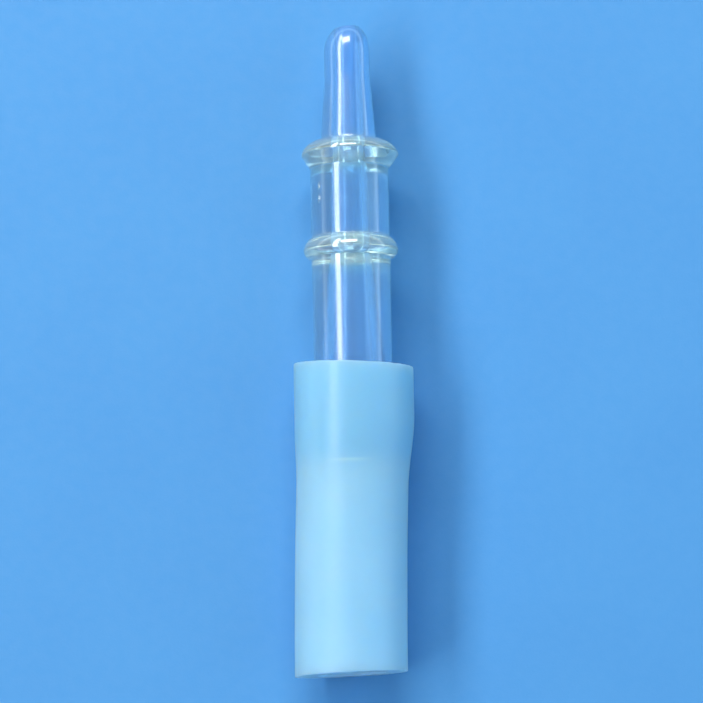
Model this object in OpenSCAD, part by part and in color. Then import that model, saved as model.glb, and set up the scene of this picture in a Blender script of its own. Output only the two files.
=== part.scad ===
// Suction nozzle with a push-on hose sleeve, lying on its side.
// The nozzle is one clear moulding: a round-ended nose, two retaining beads and a barrel with a
// through bore. The sleeve is a cut length of soft tube pushed over the barrel.
// Both are turned about one axis, which runs along +Y with the nose forward.

/* [Barrel] */
// Length of the whole nozzle, barrel end to nose tip
nozzle_length = 39.45; // [39:0.05:46]
// Outside diameter of the barrel
barrel_d = 7.0; // [6.6:0.1:7.6]
// Outside diameter at the barrel's very end, where it enters the sleeve
barrel_end_d = 6.4; // [6.1:0.1:6.5]
// Length of the lead-in taper at the barrel's end
lead_in_length = 3.0; // [1:0.5:4]

/* [Beads] */
// Barrel end to the crest of the lower bead
lower_bead_at = 19.0; // [16:0.1:20]
// Crest diameter of the lower bead
lower_bead_d = 8.54; // [8.2:0.02:9.4]
// Barrel end to the crest of the upper bead
upper_bead_at = 27.7; // [26:0.1:28.5]
// Crest diameter of the upper bead
upper_bead_d = 8.8; // [8.2:0.05:9.8]

/* [Nose] */
// Nose diameter where it leaves the upper bead
nose_base_d = 5.04; // [4.4:0.02:5.6]
// Nose diameter along its straight front stretch
nose_d = 4.16; // [3.6:0.02:4.3]
// Length of the tapered stretch of the nose
nose_taper_length = 5.7; // [3:0.1:6]
// Length over which the nose rounds off to its rim
tip_round_length = 1.95; // [0.8:0.05:2.4]

/* [Bore] */
// Bore through the nose
tip_bore_d = 2.0; // [1.2:0.1:2.4]
// Bore between the two beads, where the wide cone begins
throat_d = 2.24; // [1.6:0.02:2.6]
// Mouth of the wide cone at the barrel's end
mouth_d = 4.84; // [3:0.02:5.2]

/* [Sleeve] */
// Length of the sleeve
sleeve_length = 27.3; // [24:0.1:35]
// Outside diameter of the tube where nothing stretches it
sleeve_d = 10; // [9:0.1:12]
// Bore of the tube where nothing stretches it
sleeve_bore_d = 6; // [5:0.1:6]
// Length of barrel pushed into the sleeve
push_length = 8.55; // [5:0.05:10]

/* [Hidden] */
$fn = 96;
curve_steps = 10;

sleeve_gap = 0.03;          // radial play between barrel and sleeve
cut_edge = 0.12;            // softened edge at each cut end of the sleeve
barrel_edge = 0.15;         // softened edge of the barrel's end
rim_width = 0.06;           // flat rim around the bore at the nose tip
neck_length = 2.3;          // free tube that the barrel's end still pulls open
neck_overrun = 0.85;        // how far past the lead-in the outside still swells

// Lower bead: a bluff underside on a short flare, and a long soft rise toward the nose
lower_underside = 0.72;
lower_rise = 1.1;
lower_rise_power = 1.55;
flare_length = 1.8;
flare_height = 0.1;
flare_r = barrel_d / 2 + flare_height;
largest_round = 0.6;        // rounding of the underside, where the bead stands proud enough for it
underside_flat = 0.05;      // least flat left between the flare and that rounding
lower_round = min(largest_round, lower_bead_d / 2 - flare_r - underside_flat);
// Upper bead: a cone underneath, a narrow crest and a steep round shoulder
undercut_length = 1.1;
crest_width = 0.2;
shoulder_length = 1.3;
shoulder_power = 1.8;
tip_power = 1.75;

// Mark: two plain raised pips on the barrel between the beads
mark_angle = 37;            // how far it sits above the side of the barrel, in degrees
mark_offset = 0.6;          // from halfway between the beads, toward the nose
pip_r = 0.28;
pip_height = 0.1;
pip_root = 0.5;             // how deep each pip is rooted in the wall
pip_pitch = 1.1;

// Stations along the axis, counted from the sleeve's open end
barrel_end = sleeve_length - push_length;
lower_crest = barrel_end + lower_bead_at;
upper_crest = barrel_end + upper_bead_at;
nose_base = upper_crest + shoulder_length;
tip = barrel_end + nozzle_length;

// A stretched tube keeps its wall's cross-section, so its outside follows from its bore
wall_square = pow(sleeve_d / 2, 2) - pow(sleeve_bore_d / 2, 2);
function stretched_r(bore_r) = sqrt(pow(bore_r, 2) + wall_square);
stretch_bore_r = barrel_d / 2 + sleeve_gap;
axis_height = stretched_r(stretch_bore_r);

// Quarter bow about [r0, s0] from angle a0 to a1, half-axes hr across and hs along.
// A power of 2 is an ellipse, and a lower power is leaner.
function bow(r0, s0, hr, hs, a0, a1, power = 2) = [
    for (i = [0 : curve_steps])
        let (a = a0 + (a1 - a0) * i / curve_steps)
        [r0 + hr * pow(sin(a), 2 / power), s0 + hs * pow(cos(a), 2 / power)]
];

// Smooth step of the sleeve's outside from its free to its stretched radius
function neck_curve(s0, s1, r0, r1) = [
    for (i = [0 : curve_steps])
        let (t = i / curve_steps)
        [r0 + (r1 - r0) * (1 - cos(180 * t)) / 2, s0 + (s1 - s0) * t]
];

// Places a shape turned about Z on its side, with the sleeve's open end at -Y
module on_its_side() {
    translate([0, -tip / 2, axis_height]) rotate([-90, 0, 0]) children();
}

function barrel_outline() = [
    [mouth_d / 2, barrel_end],
    [barrel_end_d / 2 - barrel_edge, barrel_end],
    [barrel_end_d / 2, barrel_end + barrel_edge],
    [barrel_d / 2, barrel_end + lead_in_length],
    [barrel_d / 2, lower_crest - lower_underside - flare_length]
];

function lower_bead_outline() = concat(
    [[flare_r, lower_crest - lower_underside]],
    bow(lower_bead_d / 2 - lower_round, lower_crest, lower_round, -lower_underside, 0, 90),
    bow(barrel_d / 2, lower_crest, lower_bead_d / 2 - barrel_d / 2, lower_rise, 90, 0, lower_rise_power)
);

function upper_bead_outline() = concat(
    [
        [barrel_d / 2, upper_crest - crest_width / 2 - undercut_length],
        [upper_bead_d / 2 - crest_width / 2, upper_crest - crest_width],
        [upper_bead_d / 2, upper_crest - crest_width / 2]
    ],
    bow(nose_base_d / 2, upper_crest, (upper_bead_d - nose_base_d) / 2, shoulder_length, 90, 0,
        shoulder_power)
);

function nose_outline() = concat(
    [[nose_d / 2, nose_base + nose_taper_length]],
    bow(tip_bore_d / 2 + rim_width, tip - tip_round_length,
        nose_d / 2 - tip_bore_d / 2 - rim_width, tip_round_length, 90, 0, tip_power)
);

function nozzle_bore() = [
    [tip_bore_d / 2, tip],
    [tip_bore_d / 2, nose_base],
    [throat_d / 2, lower_crest + lower_rise]
];

module cavity_mark() {
    middle = (lower_crest + upper_crest) / 2 + mark_offset;
    for (side = [-1, 1])
        translate([0, 0, middle + side * pip_pitch / 2]) rotate([0, -90, 0])
            translate([0, 0, barrel_d / 2 - pip_root]) cylinder(h = pip_root + pip_height, r = pip_r);
}

module nozzle() {
    color([0.80, 0.90, 0.88, 0.5]) on_its_side() {
        rotate_extrude() polygon(concat(
            barrel_outline(), lower_bead_outline(), upper_bead_outline(), nose_outline(), nozzle_bore()
        ));
        rotate([0, 0, mark_angle]) cavity_mark();
    }
}

module sleeve() {
    free_r = sleeve_d / 2;
    bore_r = sleeve_bore_d / 2;
    neck_start = barrel_end - neck_length;
    stretch_start = barrel_end + lead_in_length;
    color([0.86, 0.92, 0.95, 0.85]) on_its_side()
        rotate_extrude() polygon(concat(
            [[bore_r, 0], [free_r - cut_edge, 0], [free_r, cut_edge]],
            neck_curve(neck_start, stretch_start + neck_overrun, free_r, axis_height),
            [
                [axis_height, sleeve_length - cut_edge],
                [axis_height - cut_edge, sleeve_length],
                [stretch_bore_r, sleeve_length],
                [stretch_bore_r, stretch_start],
                [barrel_end_d / 2 + sleeve_gap, barrel_end],
                [bore_r, neck_start]
            ]
        ));
}

nozzle();
sleeve();
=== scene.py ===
import bpy
import numpy as np
from mathutils import Matrix, Vector


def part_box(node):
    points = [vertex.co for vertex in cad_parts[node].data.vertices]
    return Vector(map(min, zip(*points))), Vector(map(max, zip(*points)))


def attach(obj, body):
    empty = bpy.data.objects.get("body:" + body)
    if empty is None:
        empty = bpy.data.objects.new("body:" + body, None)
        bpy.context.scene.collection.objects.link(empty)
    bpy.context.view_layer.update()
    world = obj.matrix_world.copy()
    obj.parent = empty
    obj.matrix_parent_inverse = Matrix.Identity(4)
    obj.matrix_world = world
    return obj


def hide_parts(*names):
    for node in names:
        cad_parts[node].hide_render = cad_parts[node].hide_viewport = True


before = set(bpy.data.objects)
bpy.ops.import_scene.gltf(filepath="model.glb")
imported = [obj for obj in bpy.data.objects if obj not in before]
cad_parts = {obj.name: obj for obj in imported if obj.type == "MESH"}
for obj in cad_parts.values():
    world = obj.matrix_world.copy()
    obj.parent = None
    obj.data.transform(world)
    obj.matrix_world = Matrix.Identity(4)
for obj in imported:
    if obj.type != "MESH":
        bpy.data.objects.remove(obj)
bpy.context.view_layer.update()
mm = 0.001

# Everything is turned about one axis along +Y, so the frame gives its height and its stations.
nozzleLow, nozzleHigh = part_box("nozzle")
sleeveLow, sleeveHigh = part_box("sleeve")
axisHeight = (nozzleLow.z + nozzleHigh.z) / 2
nozzleLength = (nozzleHigh.y - nozzleLow.y) / mm
sleeveLength = (sleeveHigh.y - sleeveLow.y) / mm
barrelEnd = (nozzleLow.y - sleeveLow.y) / mm     # where the barrel stops, from the sleeve's open end
print("frame loaded: nozzle %.2f mm, sleeve %.2f mm long" % (nozzleLength, sleeveLength))


def bow(rMid, sMid, rHalf, sHalf, fromAngle, toAngle, power=2.0, count=48):
    # Quarter bow: r = rMid + rHalf sin(a)^(2/power), s = sMid + sHalf cos(a)^(2/power).
    a = np.radians(np.linspace(fromAngle, toAngle, count))
    across = np.clip(np.sin(a), 0, 1) ** (2 / power)
    along = np.clip(np.cos(a), 0, 1) ** (2 / power)
    return np.column_stack([rMid + rHalf * across, sMid + sHalf * along])


def evenLoop(corners, count):
    # Points at equal steps of length round the closed outline through the corners.
    closed = np.vstack([corners, corners[:1]])
    length = np.concatenate([[0], np.cumsum(np.hypot(*np.diff(closed, axis=0).T))])
    at = np.linspace(0, length[-1], count, endpoint=False)
    return np.column_stack([np.interp(at, length, closed[:, k]) for k in (0, 1)]), length[-1]


def softenLoop(loop, length, radius):
    # Gaussian blur along the outline, done on its waves: each is scaled by exp(-(k radius)^2 / 2).
    wave = np.fft.rfftfreq(len(loop), length / len(loop)) * 2 * np.pi
    fade = np.exp(-(wave * radius) ** 2 / 2)[:, None]
    return np.fft.irfft(np.fft.rfft(loop, axis=0) * fade, n=len(loop), axis=0)


def gather(density, count):
    # Places in 0..1 whose spacing is inverse to the density given on an even grid.
    total = np.concatenate([[0], np.cumsum(density)])
    return np.interp(np.arange(count) / count * total[-1], total, np.linspace(0, 1, len(total)))


def pickStations(loop, length, count, pull, extra=0.0, sharpest=8.0):
    # Keeps count points of the loop, close together where it turns: density = 1 + pull * turn + extra.
    step = length / len(loop)
    turn = np.hypot(*np.gradient(np.gradient(loop, step, axis=0), step, axis=0).T)
    at = gather(1 + pull * np.minimum(turn, sharpest) + extra, count) * len(loop)
    whole = np.arange(len(loop) + 1)
    return np.column_stack([np.interp(at, whole, np.append(loop[:, k], loop[0, k])) for k in (0, 1)])


def bump(distance, width):
    # Round hump of height 1 that falls to 0 at one width away.
    return np.cos(np.clip(distance / width, -1, 1) * np.pi / 2) ** 2


def easeIn(t):
    # Smooth step from 0 to 1: 3 t^2 - 2 t^3.
    t = np.clip(t, 0, 1)
    return t * t * (3 - 2 * t)


def slowWaves(waves, u, v):
    # Sum of height * sin(byU * u + byV * v + start) over the waves, divided by the sum of their heights.
    total = sum(height * np.sin(byU * u + byV * v + start) for height, byU, byV, start in waves)
    return total / sum(wave[0] for wave in waves)


def angleFrom(angle, middle):
    # Shortest signed way round from middle to angle.
    return (angle - middle + np.pi) % (2 * np.pi) - np.pi


def closedShell(name, grid, masks):
    # Skins a grid of points that closes both ways, outline by angle, into one mesh of quads.
    rows, columns = grid.shape[:2]
    index = np.arange(rows * columns).reshape(rows, columns)
    after = np.roll(index, -1, axis=0)
    quads = np.stack([index, np.roll(index, -1, axis=1), np.roll(after, -1, axis=1), after], axis=-1)
    quads = quads.reshape(-1, 4)
    mesh = bpy.data.meshes.new(name)
    mesh.vertices.add(rows * columns)
    mesh.vertices.foreach_set("co", grid.astype(np.float32).ravel())
    mesh.loops.add(quads.size)
    mesh.loops.foreach_set("vertex_index", quads.ravel().astype(np.int32))
    mesh.polygons.add(len(quads))
    mesh.polygons.foreach_set("loop_start", np.arange(0, quads.size, 4, dtype=np.int32))
    mesh.polygons.foreach_set("use_smooth", np.ones(len(quads), dtype=bool))
    mesh.update(calc_edges=True)
    for maskName, values in masks.items():
        layer = mesh.attributes.new(maskName, "FLOAT", "POINT")
        layer.data.foreach_set("value", values.astype(np.float32).ravel())
    piece = bpy.data.objects.new(name, mesh)
    bpy.context.scene.collection.objects.link(piece)
    print("%s: %d points, %d quads" % (name, rows * columns, len(quads)))
    return piece


nozzleShape = {                   # millimetres, stations from the barrel's end
    "barrelRadius": 3.52, "landRadius": 3.54, "endRadius": 3.20, "leadIn": 3.0,
    "lowerBeadAt": 19.0, "lowerBeadRadius": 4.27, "underside": 0.72, "undersideRound": 0.60,
    "rise": 1.10, "risePower": 1.55, "flareRadius": 3.60, "flareLength": 1.8,
    "upperBeadAt": 27.7, "upperBeadRadius": 4.39, "undercut": 1.22, "crest": 0.22,
    "shoulder": 1.30, "shoulderPower": 1.8,
    "noseBaseRadius": 2.52, "noseRadius": 2.08, "noseTaper": 5.7, "tipRound": 1.95, "tipPower": 1.66,
    "mouthRadius": 2.42, "throatRadius": 1.12, "tipBoreRadius": 1.00, "rim": 0.06,
    "edgeRadius": 0.055,          # how far every moulded corner is rounded
    "tipSoftness": 0.42,          # the same for the outside of the tip, which fades in along the nose
    "softLength": 4.5, "softFade": 1.5, "softFrom": 1.15, "softRise": 0.35,
    "tipLean": 0.10, "tipReach": 2.5,       # the rounded tip is a touch out of square
    "beadShift": 0.08, "shiftReach": 2.0,   # and the upper bead a touch off the axis, to the right
    "ripple": 0.002,              # depth of the slow waviness left by shrinkage
    "rippleWaves": ((1.0, 0.55, 2, 0.0), (1.0, 0.23, -3, 1.0), (0.6, 1.1, 1, 2.0)),
    "skinFrom": (2.232, 1.612), "skinStep": (28.0, 30.0), "skinFade": 0.4,    # outside starts at this radius
    "pipRadius": 0.30, "pipHeight": 0.10, "pipPitch": 1.1, "pipsAt": 24.0,
    "pipFoot": 0.06, "pipFlank": 0.14,      # how far the foot reaches out, and the length of the slope
    "markAngle": -53.0,           # degrees from the top, negative to the left
    "markLength": 1.6, "markArc": 0.22, "markFrom": 3.0, "rowCrowd": 2.0, "columnCrowd": 1.5,
    "boreLimit": 1.9, "boreStop": 0.1,
    "lowerRing": (2.0, 1.5), "upperRing": (1.6, 1.7), "ringFade": 0.7,        # below and above each bead
    "outlineSteps": 6000, "angleSteps": 3600, "cornerPull": 1.2, "stations": 400, "around": 240,
}


def nozzleOutline(p):
    # Radius and station of each corner: up the outside from the barrel's end, then back down the bore.
    lower, upper = p["lowerBeadAt"], p["upperBeadAt"]
    noseBase = upper + p["shoulder"]
    noseRound = p["noseRadius"] - p["tipBoreRadius"] - p["rim"]
    return np.vstack([
        [[p["mouthRadius"], 0], [p["endRadius"], 0], [p["barrelRadius"], p["leadIn"]]],
        [[p["barrelRadius"], lower - p["underside"] - p["flareLength"]],
         [p["flareRadius"], lower - p["underside"]]],
        bow(p["lowerBeadRadius"] - p["undersideRound"], lower, p["undersideRound"], -p["underside"], 0, 90),
        bow(p["landRadius"], lower, p["lowerBeadRadius"] - p["landRadius"], p["rise"], 90, 0, p["risePower"]),
        [[p["landRadius"], upper - p["undercut"] - p["crest"] / 2],
         [p["upperBeadRadius"] - p["crest"] / 2, upper - p["crest"]],
         [p["upperBeadRadius"], upper - p["crest"] / 2]],
        bow(p["noseBaseRadius"], upper, p["upperBeadRadius"] - p["noseBaseRadius"], p["shoulder"],
            90, 0, p["shoulderPower"]),
        [[p["noseRadius"], noseBase + p["noseTaper"]]],
        bow(p["tipBoreRadius"] + p["rim"], nozzleLength - p["tipRound"], noseRound, p["tipRound"],
            90, 0, p["tipPower"]),
        [[p["tipBoreRadius"], nozzleLength], [p["tipBoreRadius"], noseBase],
         [p["throatRadius"], lower + p["rise"]]],
    ])


def makeNozzle(p):
    # Turns the outline about the axis, x = r sin a and z = r cos a, with small departures for moulding.
    loop, length = evenLoop(nozzleOutline(p), p["outlineSteps"])
    # Corners are softened by the edge radius, and the rounded tip by a longer one.
    crisp = softenLoop(loop, length, p["edgeRadius"])
    smooth = softenLoop(loop, length, p["tipSoftness"])
    byTip = easeIn((loop[:, 1] - nozzleLength + p["softLength"]) / p["softFade"])
    byTip = byTip * easeIn((loop[:, 0] - p["softFrom"]) / p["softRise"])
    loop = crisp + (smooth - crisp) * byTip[:, None]
    # Rows and columns crowd together round the pips.
    nearMark = bump(loop[:, 1] - p["pipsAt"], p["markLength"]) * (loop[:, 0] > p["markFrom"])
    outline = pickStations(loop, length, p["stations"], p["cornerPull"], p["rowCrowd"] * nearMark)
    mark = np.radians(p["markAngle"])
    turn = np.linspace(-np.pi, np.pi, p["angleSteps"], endpoint=False)
    crowd = 1 + p["columnCrowd"] * bump(angleFrom(turn, mark), p["markArc"])
    angle = gather(crowd, p["around"]) * 2 * np.pi - np.pi
    r, a = np.meshgrid(outline[:, 0], angle, indexing="ij")
    s = np.meshgrid(outline[:, 1], angle, indexing="ij")[0]
    outside = easeIn((r - np.interp(s, p["skinStep"], p["skinFrom"])) / p["skinFade"])
    r = r + p["ripple"] * slowWaves(p["rippleWaves"], s, a)
    # Two plain pips on the land between the beads.
    for side in (-0.5, 0.5):
        reach = np.hypot(angleFrom(a, mark) * r, s - p["pipsAt"] - side * p["pipPitch"])
        r = r + outside * p["pipHeight"] * easeIn((p["pipRadius"] + p["pipFoot"] - reach) / p["pipFlank"])
    # The tip leans: stations grow in proportion to x over the last part of the nose.
    s = s + p["tipLean"] * r * np.sin(a) * easeIn((s - nozzleLength + p["tipReach"]) / p["tipReach"])
    shift = p["beadShift"] * outside * bump(s - p["upperBeadAt"], p["shiftReach"])
    x = (r * np.sin(a) + shift) * mm
    y = nozzleLow.y + s * mm
    z = axisHeight + r * np.cos(a) * mm
    # Masks for the material: the bore's wall, and the thick rings where the resin's own tint shows.
    along = outline[:, 1]
    bore = (outline[:, 0] < p["boreLimit"]) & (along < nozzleLength - p["boreStop"])
    beads = ((p["lowerBeadAt"], p["lowerRing"]), (p["upperBeadAt"], p["upperRing"]))
    rings = [easeIn((along - at + below) / p["ringFade"]) * easeIn((at + above - along) / p["ringFade"])
             for at, (below, above) in beads]
    masks = {"boreWall": bore, "thickWall": np.clip(sum(rings), 0, 1)}
    masks = {name: np.repeat(values[:, None], p["around"], axis=1) for name, values in masks.items()}
    return closedShell("clearNozzle", np.stack([x, y, z], axis=-1), masks)


sleeveShape = {                   # millimetres, stations from the open end
    "freeRadius": 5.0, "boreRadius": 3.0, "gap": 0.03, "cutEdge": 0.07,
    "neckLength": 2.3, "neckOverrun": 0.95, "neckSteps": 60,
    "sideBend": -0.86, "bendReach": 11.0,          # the tube's own set, to one side
    "sag": 0.36, "sagReach": 8.0,                  # and down, until its free end lies on the floor
    "innerBendAt": barrelEnd, "outerBendAt": 23.0, "bendEase": 2.0,
    "topSlant": -0.047, "slantLength": 5.0,        # both cuts are out of square
    "openSlant": 0.034, "openLean": 0.118, "openTrim": 0.04,
    "oval": 0.012, "ovalTurn": 0.5, "ovalFade": 3.0, "ripple": 0.014,
    "rippleWaves": ((1.0, 0.10, 3, 0.0), (0.7, -0.16, 5, 1.3), (0.6, 0.9, 1, 0.0)),
    "cutChatter": 0.018, "cutReach": 0.4,          # the knife's marks, and how far they fade up the wall
    "chatterWaves": ((1.0, 2.0, 9.0, 0.0), (0.6, 4.1, -3.0, 1.0)),
    "skinFrom": 3.7, "skinFade": 1.1,              # tells the outside from the bore
    "cutSharpness": 4,                             # how closely the cut faces' mask keeps to them
    "toneLead": 1.0, "toneFade": 2.4,              # the tone over the barrel starts ahead of its end
    "glintWidth": 0.24,                            # width of the painted highlight: a glint arc where the barrel's rim shows through
    "glintMiddle": -0.05, "glintReach": 0.5,       # and the painted glint's place round the tube, in radians
    "outlineSteps": 5000, "cornerPull": 1.4, "stations": 330, "around": 240,
}


def sleeveOutline(p):
    # The wall keeps its cross-section when stretched: outside^2 = bore^2 + free outside^2 - free bore^2.
    barrel = nozzleShape["barrelRadius"] + p["gap"]
    swollen = np.sqrt(barrel ** 2 + p["freeRadius"] ** 2 - p["boreRadius"] ** 2)
    neckStart = barrelEnd - p["neckLength"]
    stretched = barrelEnd + nozzleShape["leadIn"]
    # The neck swells along half a cosine wave.
    t = np.linspace(0, 1, p["neckSteps"])
    neck = np.column_stack([p["freeRadius"] + (swollen - p["freeRadius"]) * (1 - np.cos(np.pi * t)) / 2,
                            neckStart + (stretched + p["neckOverrun"] - neckStart) * t])
    return np.vstack([
        [[p["boreRadius"], 0], [p["freeRadius"], 0]],
        neck,
        [[swollen, sleeveLength], [barrel, sleeveLength], [barrel, stretched],
         [nozzleShape["endRadius"] + p["gap"], barrelEnd], [p["boreRadius"], neckStart]],
    ])


def makeSleeve(p):
    # Turns the outline about the axis, x = r sin a and z = r cos a, then cuts, bends and sags the tube.
    loop, length = evenLoop(sleeveOutline(p), p["outlineSteps"])
    loop = softenLoop(loop, length, p["cutEdge"])
    outline = pickStations(loop, length, p["stations"], p["cornerPull"])
    angle = np.arange(p["around"]) / p["around"] * 2 * np.pi - np.pi
    r, a = np.meshgrid(outline[:, 0], angle, indexing="ij")
    s = np.meshgrid(outline[:, 1], angle, indexing="ij")[0]
    outside = easeIn((r - p["skinFrom"]) / p["skinFade"])
    # Extruded tube: a slight oval where it is free, and slow waves that run on along its length.
    free = easeIn((barrelEnd - s) / p["ovalFade"])
    r = r * (1 + p["oval"] * free * np.cos(2 * (a - p["ovalTurn"])) / 2)
    r = r + p["ripple"] * outside * slowWaves(p["rippleWaves"], s, a)
    x = r * np.sin(a)
    z = r * np.cos(a)
    # Cut ends: each plane leans in proportion to x, the open one to z as well, and the knife chatters.
    atTop = easeIn((s - sleeveLength + p["slantLength"]) / p["slantLength"])
    atOpen = easeIn((p["slantLength"] - s) / p["slantLength"])
    nearCut = easeIn((s - sleeveLength + p["cutReach"]) / p["cutReach"])
    nearCut = nearCut + easeIn((p["cutReach"] - s) / p["cutReach"])
    s = s + atTop * p["topSlant"] * x + atOpen * (p["openTrim"] + p["openSlant"] * x + p["openLean"] * z)
    s = s + nearCut * p["cutChatter"] * slowWaves(p["chatterWaves"], x, z)
    # The free tube bends away past the barrel: e = d^2 / (d + ease), offset = size (1 - exp(-e / length)).
    bendAt = p["innerBendAt"] + (p["outerBendAt"] - p["innerBendAt"]) * outside
    d = np.maximum(bendAt - s, 0)
    e = d * d / (d + p["bendEase"])
    x = x + p["sideBend"] * (1 - np.exp(-e / p["bendReach"]))
    z = z - p["sag"] * (1 - np.exp(-e / p["sagReach"]))
    # Masks for the material: the cut faces, the length that the barrel fills, and a painted highlight, a
    # short glint arc where the barrel's end shows through the wall.
    drift, climb = np.gradient(outline, axis=0).T
    cutFace = (np.abs(drift) / (np.hypot(drift, climb) + 1e-9)) ** p["cutSharpness"]
    overBarrel = easeIn((outline[:, 1] - barrelEnd + p["toneLead"]) / p["toneFade"])
    masks = {"cutFace": cutFace, "overBarrel": overBarrel}
    masks = {name: np.repeat(values[:, None], p["around"], axis=1) for name, values in masks.items()}
    rimGlintBand = bump(outline[:, 1] - barrelEnd, p["glintWidth"])
    masks["paintedRimGlint"] = rimGlintBand[:, None] * bump(angleFrom(angle, p["glintMiddle"]), p["glintReach"])
    grid = np.stack([x * mm, sleeveLow.y + s * mm, axisHeight + z * mm], axis=-1)
    return closedShell("siliconeSleeve", grid, masks)


def newGroup(name, inputs, output):
    # A node group with the given named inputs and one value out.
    group = bpy.data.node_groups.new(name, "ShaderNodeTree")
    group.interface.new_socket("Vector", in_out="INPUT", socket_type="NodeSocketVector")
    for socketName, value in inputs.items():
        socket = group.interface.new_socket(socketName, in_out="INPUT", socket_type="NodeSocketFloat")
        socket.default_value = value
    group.interface.new_socket(output, in_out="OUTPUT", socket_type="NodeSocketFloat")
    return group, group.nodes.new("NodeGroupInput"), group.nodes.new("NodeGroupOutput")


def feed(tree, socket, value):
    # A number or a colour is set on the socket, and anything else is linked to it.
    if isinstance(value, (int, float)):
        socket.default_value = value
    elif isinstance(value, tuple):
        socket.default_value = (*value, 1.0)
    else:
        tree.links.new(value, socket)


def mathNode(tree, operation, *values):
    node = tree.nodes.new("ShaderNodeMath")
    node.operation = operation
    for socket, value in zip(node.inputs, values):
        feed(tree, socket, value)
    return node.outputs[0]


def noiseNode(tree, vector, scale, detail=2.0, roughness=0.5):
    node = tree.nodes.new("ShaderNodeTexNoise")
    node.inputs["Detail"].default_value = detail
    node.inputs["Roughness"].default_value = roughness
    tree.links.new(vector, node.inputs["Vector"])
    feed(tree, node.inputs["Scale"], scale)
    return node.outputs["Fac"]


def rangeNode(tree, value, fromLow, fromHigh, toLow=0.0, toHigh=1.0):
    # Smooth step of the value from one range to the other.
    node = tree.nodes.new("ShaderNodeMapRange")
    node.interpolation_type = "SMOOTHSTEP"
    tree.links.new(value, node.inputs["Value"])
    for socketName, amount in (("From Min", fromLow), ("From Max", fromHigh),
                               ("To Min", toLow), ("To Max", toHigh)):
        feed(tree, node.inputs[socketName], amount)
    return node.outputs["Result"]


def stretchNode(tree, vector, scale, turn=(0.0, 0.0, 0.0)):
    node = tree.nodes.new("ShaderNodeMapping")
    node.inputs["Scale"].default_value = scale
    node.inputs["Rotation"].default_value = turn
    tree.links.new(vector, node.inputs["Vector"])
    return node.outputs["Vector"]


def maskNode(tree, name):
    # Reads one of the masks that the mesh carries.
    node = tree.nodes.new("ShaderNodeAttribute")
    node.attribute_name = name
    return node.outputs["Fac"]


def makeMottleGroup():
    # Cloudy value between Low and High, from noise at the given scale.
    group, inward, outward = newGroup("cloudMottle", {"Scale": 300.0, "Low": 0.0, "High": 1.0}, "Value")
    vector, scale, low, high = inward.outputs[:4]
    cloud = noiseNode(group, vector, scale, detail=4.0, roughness=0.55)
    value = rangeNode(group, cloud, fromLow=0.3, fromHigh=0.7, toLow=low, toHigh=high)
    group.links.new(value, outward.inputs["Value"])
    return group


def makeDustGroup():
    # Sparse round specks: the distance to scattered points, cut off at a small size.
    group, inward, outward = newGroup("dustSpecks", {"Scale": 900.0, "Size": 0.12, "Amount": 0.5}, "Mask")
    vector, scale, size, amount = inward.outputs[:4]
    cells = group.nodes.new("ShaderNodeTexVoronoi")
    group.links.new(vector, cells.inputs["Vector"])
    group.links.new(scale, cells.inputs["Scale"])
    speck = mathNode(group, "LESS_THAN", cells.outputs["Distance"], size)
    split = group.nodes.new("ShaderNodeSeparateColor")
    group.links.new(cells.outputs["Color"], split.inputs["Color"])
    kept = mathNode(group, "LESS_THAN", split.outputs["Red"], amount)
    group.links.new(mathNode(group, "MULTIPLY", speck, kept), outward.inputs["Mask"])
    return group


scuffPattern = {"stretch": (1.0, 0.12, 1.0), "turn": (0.1, 0.3, 0.25), "middle": 0.5,
                "patchScale": 0.2, "patchFrom": 0.5, "patchTo": 0.62}      # marks come in broad patches


def makeScuffGroup(p):
    # Hair-fine handling marks: noise stretched along the part, kept only near its middle value.
    group, inward, outward = newGroup("handlingScuffs", {"Scale": 600.0, "Width": 0.012}, "Mask")
    vector, scale, width = inward.outputs[:3]
    patches = noiseNode(group, vector, mathNode(group, "MULTIPLY", scale, p["patchScale"]), detail=3.0)
    lines = noiseNode(group, stretchNode(group, vector, p["stretch"], p["turn"]), scale)
    offCentre = mathNode(group, "ABSOLUTE", mathNode(group, "SUBTRACT", lines, p["middle"]))
    near = mathNode(group, "LESS_THAN", offCentre, width)
    patchy = rangeNode(group, patches, p["patchFrom"], p["patchTo"])
    group.links.new(mathNode(group, "MULTIPLY", near, patchy), outward.inputs["Mask"])
    return group


mottleGroup = makeMottleGroup()
dustGroup = makeDustGroup()
scuffGroup = makeScuffGroup(scuffPattern)


def place(tree, group, vector, values):
    # Puts a node group into the material's tree with its own values.
    node = tree.nodes.new("ShaderNodeGroup")
    node.node_tree = group
    tree.links.new(vector, node.inputs["Vector"])
    for socketName, value in values.items():
        node.inputs[socketName].default_value = value
    return node.outputs[0]


def startMaterial(name):
    # A new material, its node tree, its main shader and the object's own coordinates.
    material = bpy.data.materials.new(name)
    material.use_nodes = True
    tree = material.node_tree
    shader = tree.nodes["Principled BSDF"]
    own = tree.nodes.new("ShaderNodeTexCoord").outputs["Object"]
    return material, tree, shader, own


def mixColour(tree, factor, first, second):
    node = tree.nodes.new("ShaderNodeMix")
    node.data_type = "RGBA"
    tree.links.new(factor, node.inputs["Factor"])
    feed(tree, node.inputs[6], first)       # 6 and 7 are the two colour sockets, 2 the colour out
    feed(tree, node.inputs[7], second)
    return node.outputs[2]


def addBump(tree, shader, height, strength, depth):
    node = tree.nodes.new("ShaderNodeBump")
    node.inputs["Strength"].default_value = strength
    node.inputs["Distance"].default_value = depth
    tree.links.new(height, node.inputs["Height"])
    tree.links.new(node.outputs["Normal"], shader.inputs["Normal"])


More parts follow.
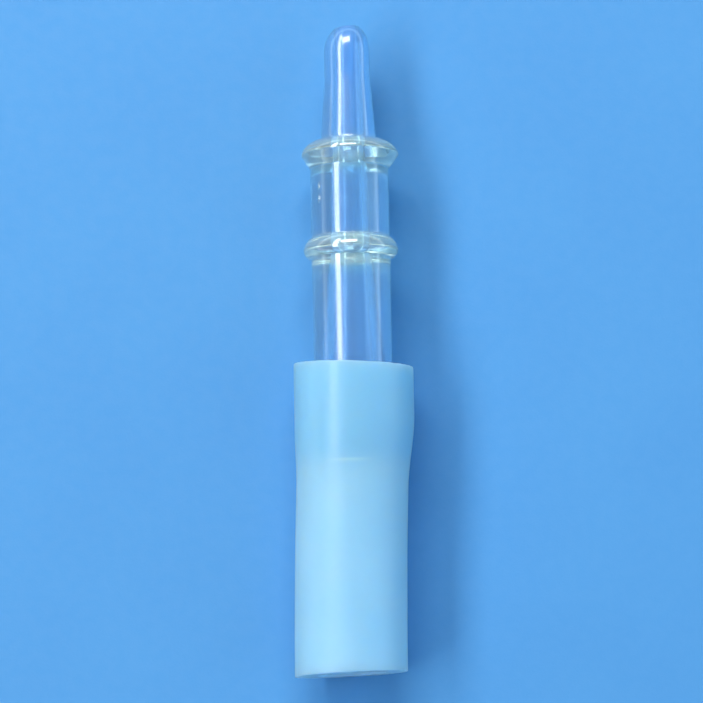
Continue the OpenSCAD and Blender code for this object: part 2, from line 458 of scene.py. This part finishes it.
clearFinish = {
    "tint": (0.36, 0.69, 1.0), "cloudTint": (0.34, 0.67, 0.99), "thickTint": (0.86, 1.0, 0.95),
    "transmission": 0.84, "bending": 1.54, "coat": 0.8, "coatHaze": 0.15,
    "haze": {"Scale": 260.0, "Low": 0.17, "High": 0.225},
    "cloud": {"Scale": 150.0, "Low": 0.0, "High": 1.0},
    "scuffs": {"Scale": 700.0, "Width": 0.008},
    "dust": {"Scale": 1100.0, "Size": 0.08, "Amount": 0.04},
    "scuffHaze": 0.03, "dustHaze": 0.04, "boreHaze": 0.03,    # what each adds to the haze
    "polish": 0.75,               # how much of that haze the beads lose
    "grainScale": 500.0, "grainStrength": 0.02, "grainDepth": 0.0001,
    "absorb": (0.93, 1.0, 0.86), "absorbDensity": 70.0,
}


def makeClearPlastic(p):
    # Tinted clear resin: haze = mottle * (1 - thick * polish) + the most of scuffs, dust and bore.
    material, tree, shader, own = startMaterial("clearPlastic")
    haze = place(tree, mottleGroup, own, p["haze"])
    cloud = place(tree, mottleGroup, own, p["cloud"])
    scuffs = place(tree, scuffGroup, own, p["scuffs"])
    dust = place(tree, dustGroup, own, p["dust"])
    thick = maskNode(tree, "thickWall")
    bore = maskNode(tree, "boreWall")
    resin = mixColour(tree, cloud, p["tint"], p["cloudTint"])
    resin = mixColour(tree, thick, resin, p["thickTint"])
    tree.links.new(resin, shader.inputs["Base Color"])
    worn = mathNode(tree, "MAXIMUM", mathNode(tree, "MULTIPLY", scuffs, p["scuffHaze"]),
                    mathNode(tree, "MULTIPLY", dust, p["dustHaze"]))
    worn = mathNode(tree, "MAXIMUM", worn, mathNode(tree, "MULTIPLY", bore, p["boreHaze"]))
    kept = mathNode(tree, "SUBTRACT", 1.0, mathNode(tree, "MULTIPLY", thick, p["polish"]))
    haze = mathNode(tree, "MULTIPLY", haze, kept)
    tree.links.new(mathNode(tree, "ADD", haze, worn), shader.inputs["Roughness"])
    shader.inputs["Transmission Weight"].default_value = p["transmission"]
    shader.inputs["IOR"].default_value = p["bending"]
    shader.inputs["Coat Weight"].default_value = p["coat"]
    shader.inputs["Coat Roughness"].default_value = p["coatHaze"]
    addBump(tree, shader, noiseNode(tree, own, p["grainScale"]), p["grainStrength"], p["grainDepth"])
    depth = tree.nodes.new("ShaderNodeVolumeAbsorption")
    depth.inputs["Color"].default_value = (*p["absorb"], 1.0)
    depth.inputs["Density"].default_value = p["absorbDensity"]
    tree.links.new(depth.outputs["Volume"], tree.nodes["Material Output"].inputs["Volume"])
    return material


siliconeFinish = {
    # The cut faces' tone is painted shade: darker than the milk, for the dark crescent seen at the open end.
    "milk": (0.44, 0.755, 1.0), "thinMilk": (0.41, 0.735, 0.995), "cutFaceShade": (0.36, 0.70, 1.0),
    "overBarrelMilk": (0.34, 0.69, 1.0),      # darker and bluer over the length the barrel fills
    # Painted highlight: a lighter tone for the glint arc where the barrel's rim shows through the wall.
    "rimGlintMilk": (0.60, 0.87, 1.0), "rimGlintWeight": 0.9,
    "dustColour": (0.9, 0.95, 0.97), "dustWeight": 0.4,
    "cloud": {"Scale": 190.0, "Low": 0.0, "High": 1.0},
    "sheen": {"Scale": 300.0, "Low": 0.44, "High": 0.50},
    "dust": {"Scale": 700.0, "Size": 0.06, "Amount": 0.04},
    "transmission": 0.50, "bending": 1.41, "cutDull": 0.6,
    "wetting": 0.13,              # how much smoother the wall is where it clings to the barrel
    "scatter": 1.0, "scatterDepth": 0.004, "scatterReach": (1.0, 1.0, 1.0),
    "drawnScale": 900.0, "drawnStretch": (1.0, 0.03, 1.0), "drawnStrength": 0.05, "drawnDepth": 0.0001,
}


def makeSilicone(p):
    # Milky rubber: roughness = the greater of mottle - wetting * overBarrel and cutDull * cutFace.
    material, tree, shader, own = startMaterial("milkySilicone")
    cloud = place(tree, mottleGroup, own, p["cloud"])
    sheen = place(tree, mottleGroup, own, p["sheen"])
    dust = place(tree, dustGroup, own, p["dust"])
    cut = maskNode(tree, "cutFace")
    overBarrel = maskNode(tree, "overBarrel")
    paintedRimGlint = maskNode(tree, "paintedRimGlint")
    milk = mixColour(tree, cloud, p["milk"], p["thinMilk"])
    milk = mixColour(tree, overBarrel, milk, p["overBarrelMilk"])
    # Painted highlight: a lighter arc where the barrel's rim glints through the wall.
    milk = mixColour(tree, mathNode(tree, "MULTIPLY", paintedRimGlint, p["rimGlintWeight"]), milk, p["rimGlintMilk"])
    # Painted shade: the cut faces take a darker tone, which makes the dark crescent at the open end.
    milk = mixColour(tree, cut, milk, p["cutFaceShade"])
    milk = mixColour(tree, mathNode(tree, "MULTIPLY", dust, p["dustWeight"]), milk, p["dustColour"])
    tree.links.new(milk, shader.inputs["Base Color"])
    sheen = mathNode(tree, "SUBTRACT", sheen, mathNode(tree, "MULTIPLY", overBarrel, p["wetting"]))
    dulled = mathNode(tree, "MAXIMUM", sheen, mathNode(tree, "MULTIPLY", cut, p["cutDull"]))
    tree.links.new(dulled, shader.inputs["Roughness"])
    shader.inputs["Transmission Weight"].default_value = p["transmission"]
    shader.inputs["IOR"].default_value = p["bending"]
    shader.inputs["Subsurface Weight"].default_value = p["scatter"]
    shader.inputs["Subsurface Scale"].default_value = p["scatterDepth"]
    shader.inputs["Subsurface Radius"].default_value = p["scatterReach"]
    # Drawn lines run the length of the extruded tube.
    lines = noiseNode(tree, stretchNode(tree, own, p["drawnStretch"]), p["drawnScale"])
    addBump(tree, shader, lines, p["drawnStrength"], p["drawnDepth"])
    return material


floorFinish = {                   # size, height and grain depth in metres
    "pale": (0.058, 0.245, 0.525), "paler": (0.062, 0.255, 0.535),
    "cloud": {"Scale": 60.0, "Low": 0.0, "High": 1.0},
    "sheen": {"Scale": 900.0, "Low": 0.69, "High": 0.81},
    "grainScale": 4000.0, "grainRoughness": 0.6, "grainStrength": 0.15, "grainDepth": 0.00005,
    "size": 1.6, "points": 25, "height": -0.00002,
}


def makeFloor(p):
    # A flat sheet: x and y on an even grid, z just under the part.
    side = np.linspace(-p["size"] / 2, p["size"] / 2, p["points"])
    x, y = np.meshgrid(side, side, indexing="ij")
    points = np.stack([x, y, np.full_like(x, p["height"])], axis=-1).reshape(-1, 3)
    index = np.arange(x.size).reshape(x.shape)
    quads = np.stack([index[:-1, :-1], index[1:, :-1], index[1:, 1:], index[:-1, 1:]], axis=-1)
    mesh = bpy.data.meshes.new("floor")
    mesh.from_pydata(points.tolist(), [], quads.reshape(-1, 4).tolist())
    floor = bpy.data.objects.new("floor", mesh)
    bpy.context.scene.collection.objects.link(floor)
    material, tree, shader, own = startMaterial("paleFloor")
    cloud = place(tree, mottleGroup, own, p["cloud"])
    tree.links.new(mixColour(tree, cloud, p["pale"], p["paler"]), shader.inputs["Base Color"])
    tree.links.new(place(tree, mottleGroup, own, p["sheen"]), shader.inputs["Roughness"])
    grain = noiseNode(tree, own, p["grainScale"], roughness=p["grainRoughness"])
    addBump(tree, shader, grain, p["grainStrength"], p["grainDepth"])
    mesh.materials.append(material)


nozzle = makeNozzle(nozzleShape)
nozzle.data.materials.append(makeClearPlastic(clearFinish))
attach(nozzle, "nozzle")
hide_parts("nozzle")

sleeve = makeSleeve(sleeveShape)
sleeve.data.materials.append(makeSilicone(siliconeFinish))
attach(sleeve, "sleeve")
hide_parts("sleeve")

makeFloor(floorFinish)
print("pieces, floor and materials done")

lightRig = {        # power in watts; width and height, place and aim in metres
    "key": {"power": 4.8, "size": (1.10, 0.14), "from": (-0.36, 0.25, 0.46), "to": (0.0, 0.25, 0.0),
            "colour": (0.97, 0.99, 1.0)},
    "back": {"power": 4.2, "size": (0.44, 0.22), "from": (-0.05, 0.45, 0.55), "to": (0.0, 0.0, 0.0),
             "colour": (1.0, 1.0, 0.98)},
    "side": {"power": 1.4, "size": (0.70, 0.50), "from": (0.45, -0.05, 0.24), "to": (0.0, 0.0, 0.0),
             "colour": (0.42, 0.75, 1.0)},
}
roomGlow = {"zenith": (0.02, 0.05, 0.10), "horizon": (1.60, 1.95, 2.10), "bandHeight": 0.34}


def addLight(name, p):
    # A rectangular area light that faces its aim.
    lamp = bpy.data.lights.new(name, "AREA")
    lamp.shape = "RECTANGLE"
    lamp.energy = p["power"]
    lamp.size, lamp.size_y = p["size"]
    lamp.color = p["colour"]
    holder = bpy.data.objects.new(name, lamp)
    holder.location = p["from"]
    holder.rotation_euler = (Vector(p["to"]) - Vector(p["from"])).to_track_quat("-Z", "Y").to_euler()
    bpy.context.scene.collection.objects.link(holder)


def addRoom(p):
    # A pale band round the horizon fades to a deep zenith, by the height of the direction looked in.
    world = bpy.data.worlds.new("studio")
    world.use_nodes = True
    tree = world.node_tree
    split = tree.nodes.new("ShaderNodeSeparateXYZ")
    tree.links.new(tree.nodes.new("ShaderNodeTexCoord").outputs["Generated"], split.inputs[0])
    height = rangeNode(tree, split.outputs["Z"], 0.0, p["bandHeight"])
    glow = mixColour(tree, height, p["horizon"], p["zenith"])
    tree.links.new(glow, tree.nodes["Background"].inputs["Color"])
    bpy.context.scene.world = world


for lightName, light in lightRig.items():
    addLight(lightName + "Light", light)
addRoom(roomGlow)

cameraRig = {"lens": 92.95, "sensor": 36.0, "distance": 0.1625, "elevation": 84.2, "roll": 1.2,
             "aside": -0.14, "ahead": -0.5,       # aims off the part's middle, in mm
             "nearest": 0.01}


def addCamera(p):
    # Looks along -back from the given distance, then turns about its own line of sight.
    rise, roll = np.radians([p["elevation"], p["roll"]])
    back = np.array([0, -np.cos(rise), np.sin(rise)])
    side = np.array([1.0, 0, 0])
    up = np.cross(back, side)
    turned = Matrix([np.cos(roll) * side - np.sin(roll) * up, np.sin(roll) * side + np.cos(roll) * up, back])
    aim = np.array([p["aside"] * mm, p["ahead"] * mm, axisHeight])
    data = bpy.data.cameras.new("camera")
    data.lens = p["lens"]
    data.sensor_width = p["sensor"]
    data.clip_start = p["nearest"]
    camera = bpy.data.objects.new("camera", data)
    camera.matrix_world = Matrix.Translation(aim + back * p["distance"]) @ turned.transposed().to_4x4()
    bpy.context.scene.collection.objects.link(camera)
    bpy.context.scene.camera = camera


addCamera(cameraRig)
scene = bpy.context.scene
scene.view_settings.view_transform = "Standard"
scene.cycles.max_bounces = 24             # light passes many walls of clear plastic
scene.cycles.transmission_bounces = 24
scene.cycles.glossy_bounces = 8
print("light and camera done")
